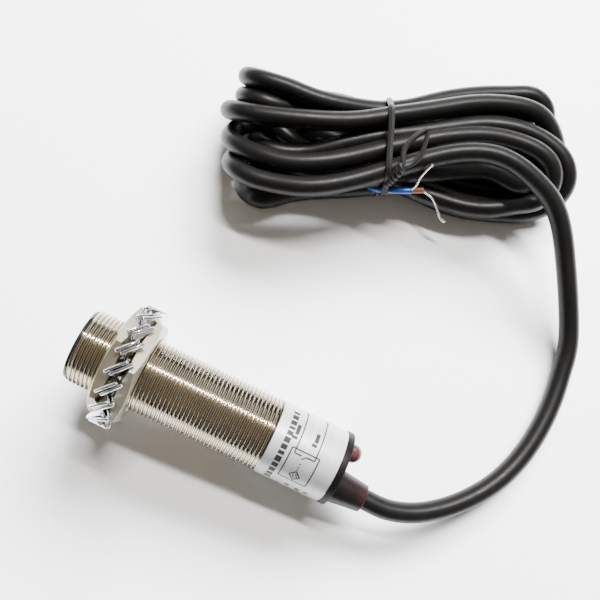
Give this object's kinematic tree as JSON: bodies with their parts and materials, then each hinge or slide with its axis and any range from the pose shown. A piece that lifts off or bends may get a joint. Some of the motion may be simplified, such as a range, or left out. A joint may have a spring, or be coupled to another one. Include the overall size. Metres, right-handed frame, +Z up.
{
  "type": "cylindrical diffuse photoelectric proximity sensor",
  "caption": "Threaded metal tube sensor with clamp nuts, toothed lock washers, foil label, rear indicator and a two-core cable wound in a tied hank.",
  "frame": {"origin": "centre of the sensor's footprint on the surface that it lies on, without its cable", "axes": "+X along the barrel from the sensing face to the cable end, +Z up; the barrel's axis dips a few degrees towards +X because the washers hold its front up; +Y towards the wound cable"},
  "size_m": [0.1128, 0.1234, 0.0301],
  "materials": {
    "nickel_brass": "nickel plated, turned thread",
    "nut_nickel": "nickel plated, tumbled",
    "zinc_steel": "bright zinc plated spring steel",
    "label_foil": "satin silver film with black print",
    "cap_plastic": "dark red, slightly see-through",
    "dome_plastic": "dark red, see-through",
    "lens_plastic": "black, smooth",
    "holder_plastic": "black, fine matt",
    "lamp_resin": "clear tinted resin",
    "receiver_resin": "dark filter resin",
    "board_laminate": "green solder mask",
    "chip_black": "moulded, matt",
    "can_metal": "sleeved can",
    "resistor_paint": "lacquered",
    "trimmer_blue": "moulded",
    "trimmer_brass": "turned",
    "potting_resin": "cast",
    "seal_rubber": "smooth",
    "cable_jacket": "extruded, semi-gloss",
    "tie_plastic": "plastic over wire, wrinkled",
    "core_blue": "extruded",
    "core_brown": "extruded",
    "tinned_copper": "tinned strands, twisted"
  },
  "bodies": {
    "root": {"barrel": "nickel_brass", "front_lens": "lens_plastic", "lens_seal": "seal_rubber", "optics_holder": "holder_plastic", "optics_baffle": "holder_plastic", "emitter": "lamp_resin", "receiver": "receiver_resin", "circuit_board": "board_laminate", "control_chip": "chip_black", "bridge_rectifier": "chip_black", "thyristor": "chip_black", "capacitor": "can_metal", "resistors": "resistor_paint", "trimmer_body": "trimmer_blue", "indicator_led": "dome_plastic", "indicator_dome": "dome_plastic", "potting": "potting_resin", "cap_seal": "seal_rubber", "rear_cap": "cap_plastic", "cable_boss": "cap_plastic", "cable_root": "cable_jacket", "core_tails": "core_blue", "label_sleeve": "label_foil", "cable_run": "cable_jacket", "cable_hank": "cable_jacket", "hank_tie": "tie_plastic", "tie_ends": "tie_plastic", "blue_core": "core_blue", "brown_core": "core_brown", "bare_wires": "tinned_copper"},
    "front_washer": {"front_washer": "zinc_steel"},
    "front_nut": {"front_nut": "nut_nickel"},
    "rear_washer": {"rear_washer": "zinc_steel"},
    "rear_nut": {"rear_nut": "nut_nickel"},
    "trimmer_rotor": {"trimmer_rotor": "trimmer_brass"}
  },
  "joints": [
    {"name": "front_nut_turn", "type": "hinge", "parent": "front_washer", "child": "front_nut", "pos_m": [-0.02793, 0, 0.01538], "axis": [-0.9938, 0, 0.1107], "range_deg": [0, 2340]},
    {"name": "front_washer_slide", "type": "slide", "parent": "root", "child": "front_washer", "axis": [-0.9938, 0, 0.1107], "range_m": [0, 0.00651]},
    {"name": "rear_nut_turn", "type": "hinge", "parent": "rear_washer", "child": "rear_nut", "pos_m": [-0.02247, 0, 0.01477], "axis": [0.9938, 0, -0.1107], "range_deg": [0, 11160]},
    {"name": "rear_washer_slide", "type": "slide", "parent": "root", "child": "rear_washer", "axis": [0.9938, 0, -0.1107], "range_m": [0, 0.03101]},
    {"name": "trimmer_turn", "type": "hinge", "parent": "root", "child": "trimmer_rotor", "pos_m": [0.02396, 0.002, 0.00517], "axis": [0.9938, 0, -0.1107], "range_deg": [-135, 135]}
  ],
  "couplings": [
    {"joint": "front_washer_slide", "follows": "front_nut_turn", "m_per_rad": 0.00015915},
    {"joint": "rear_washer_slide", "follows": "rear_nut_turn", "m_per_rad": 0.00015915}
  ]
}
